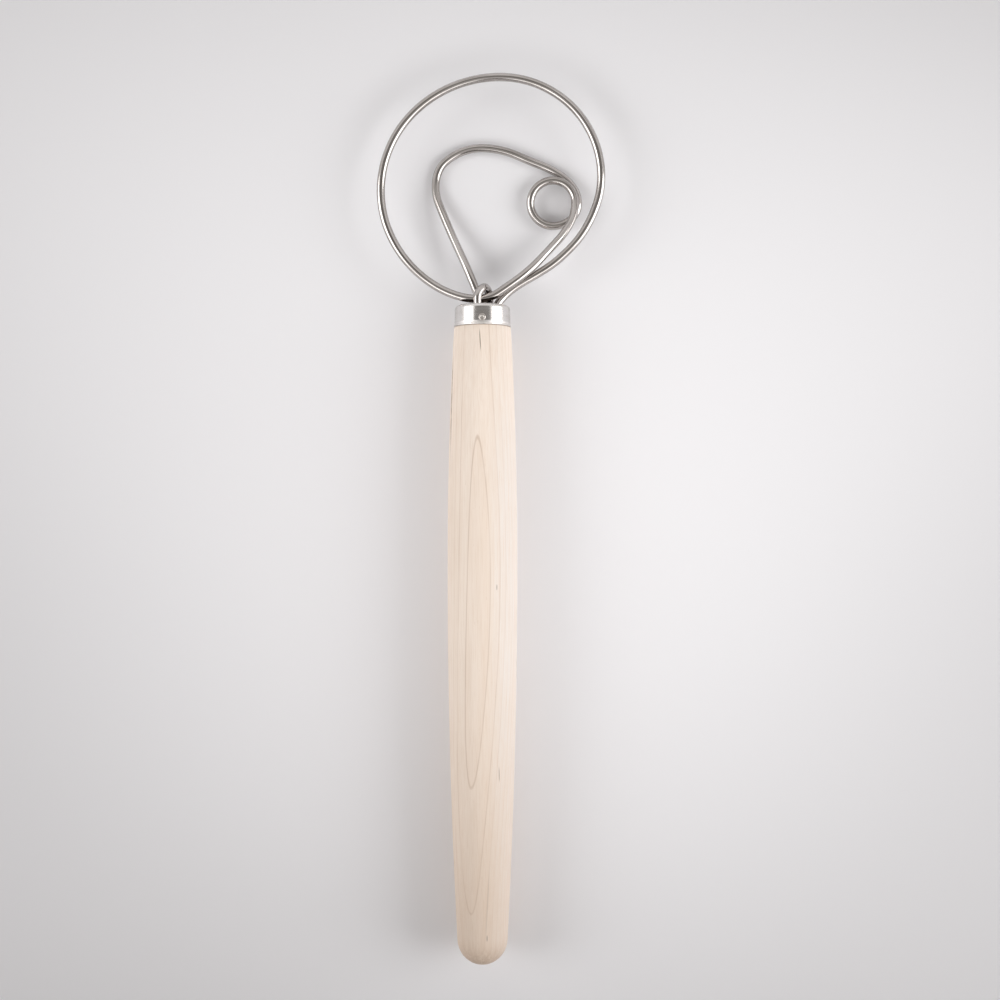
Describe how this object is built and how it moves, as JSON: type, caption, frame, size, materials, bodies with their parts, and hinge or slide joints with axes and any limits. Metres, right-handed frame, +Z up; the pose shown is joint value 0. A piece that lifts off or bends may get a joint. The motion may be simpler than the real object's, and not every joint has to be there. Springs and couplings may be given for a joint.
{
  "type": "dough whisk",
  "caption": "Round wire dough whisk: an open ring with an inner loop and a small curl bent from steel wire, held by a ferrule in a turned wooden handle.",
  "frame": {"origin": "middle of the bounding box, on the surface the whisk lies on", "axes": "+Y along the handle from its round tip to the wire head, +Z up from the surface it lies on, +X to the side that the small curl is on"},
  "size_m": [0.0782, 0.3048, 0.0239],
  "materials": {
    "wire_steel": "bright polished round wire",
    "ferrule_steel": "bright drawn sheet, softly scuffed",
    "nail_steel": "dull domed head",
    "handle_wood": "pale close-grained wood, sanded and bare"
  },
  "bodies": {
    "root": {"whisk_wire": "wire_steel", "ferrule": "ferrule_steel", "ferrule_nail": "nail_steel", "handle": "handle_wood"}
  },
  "joints": []
}
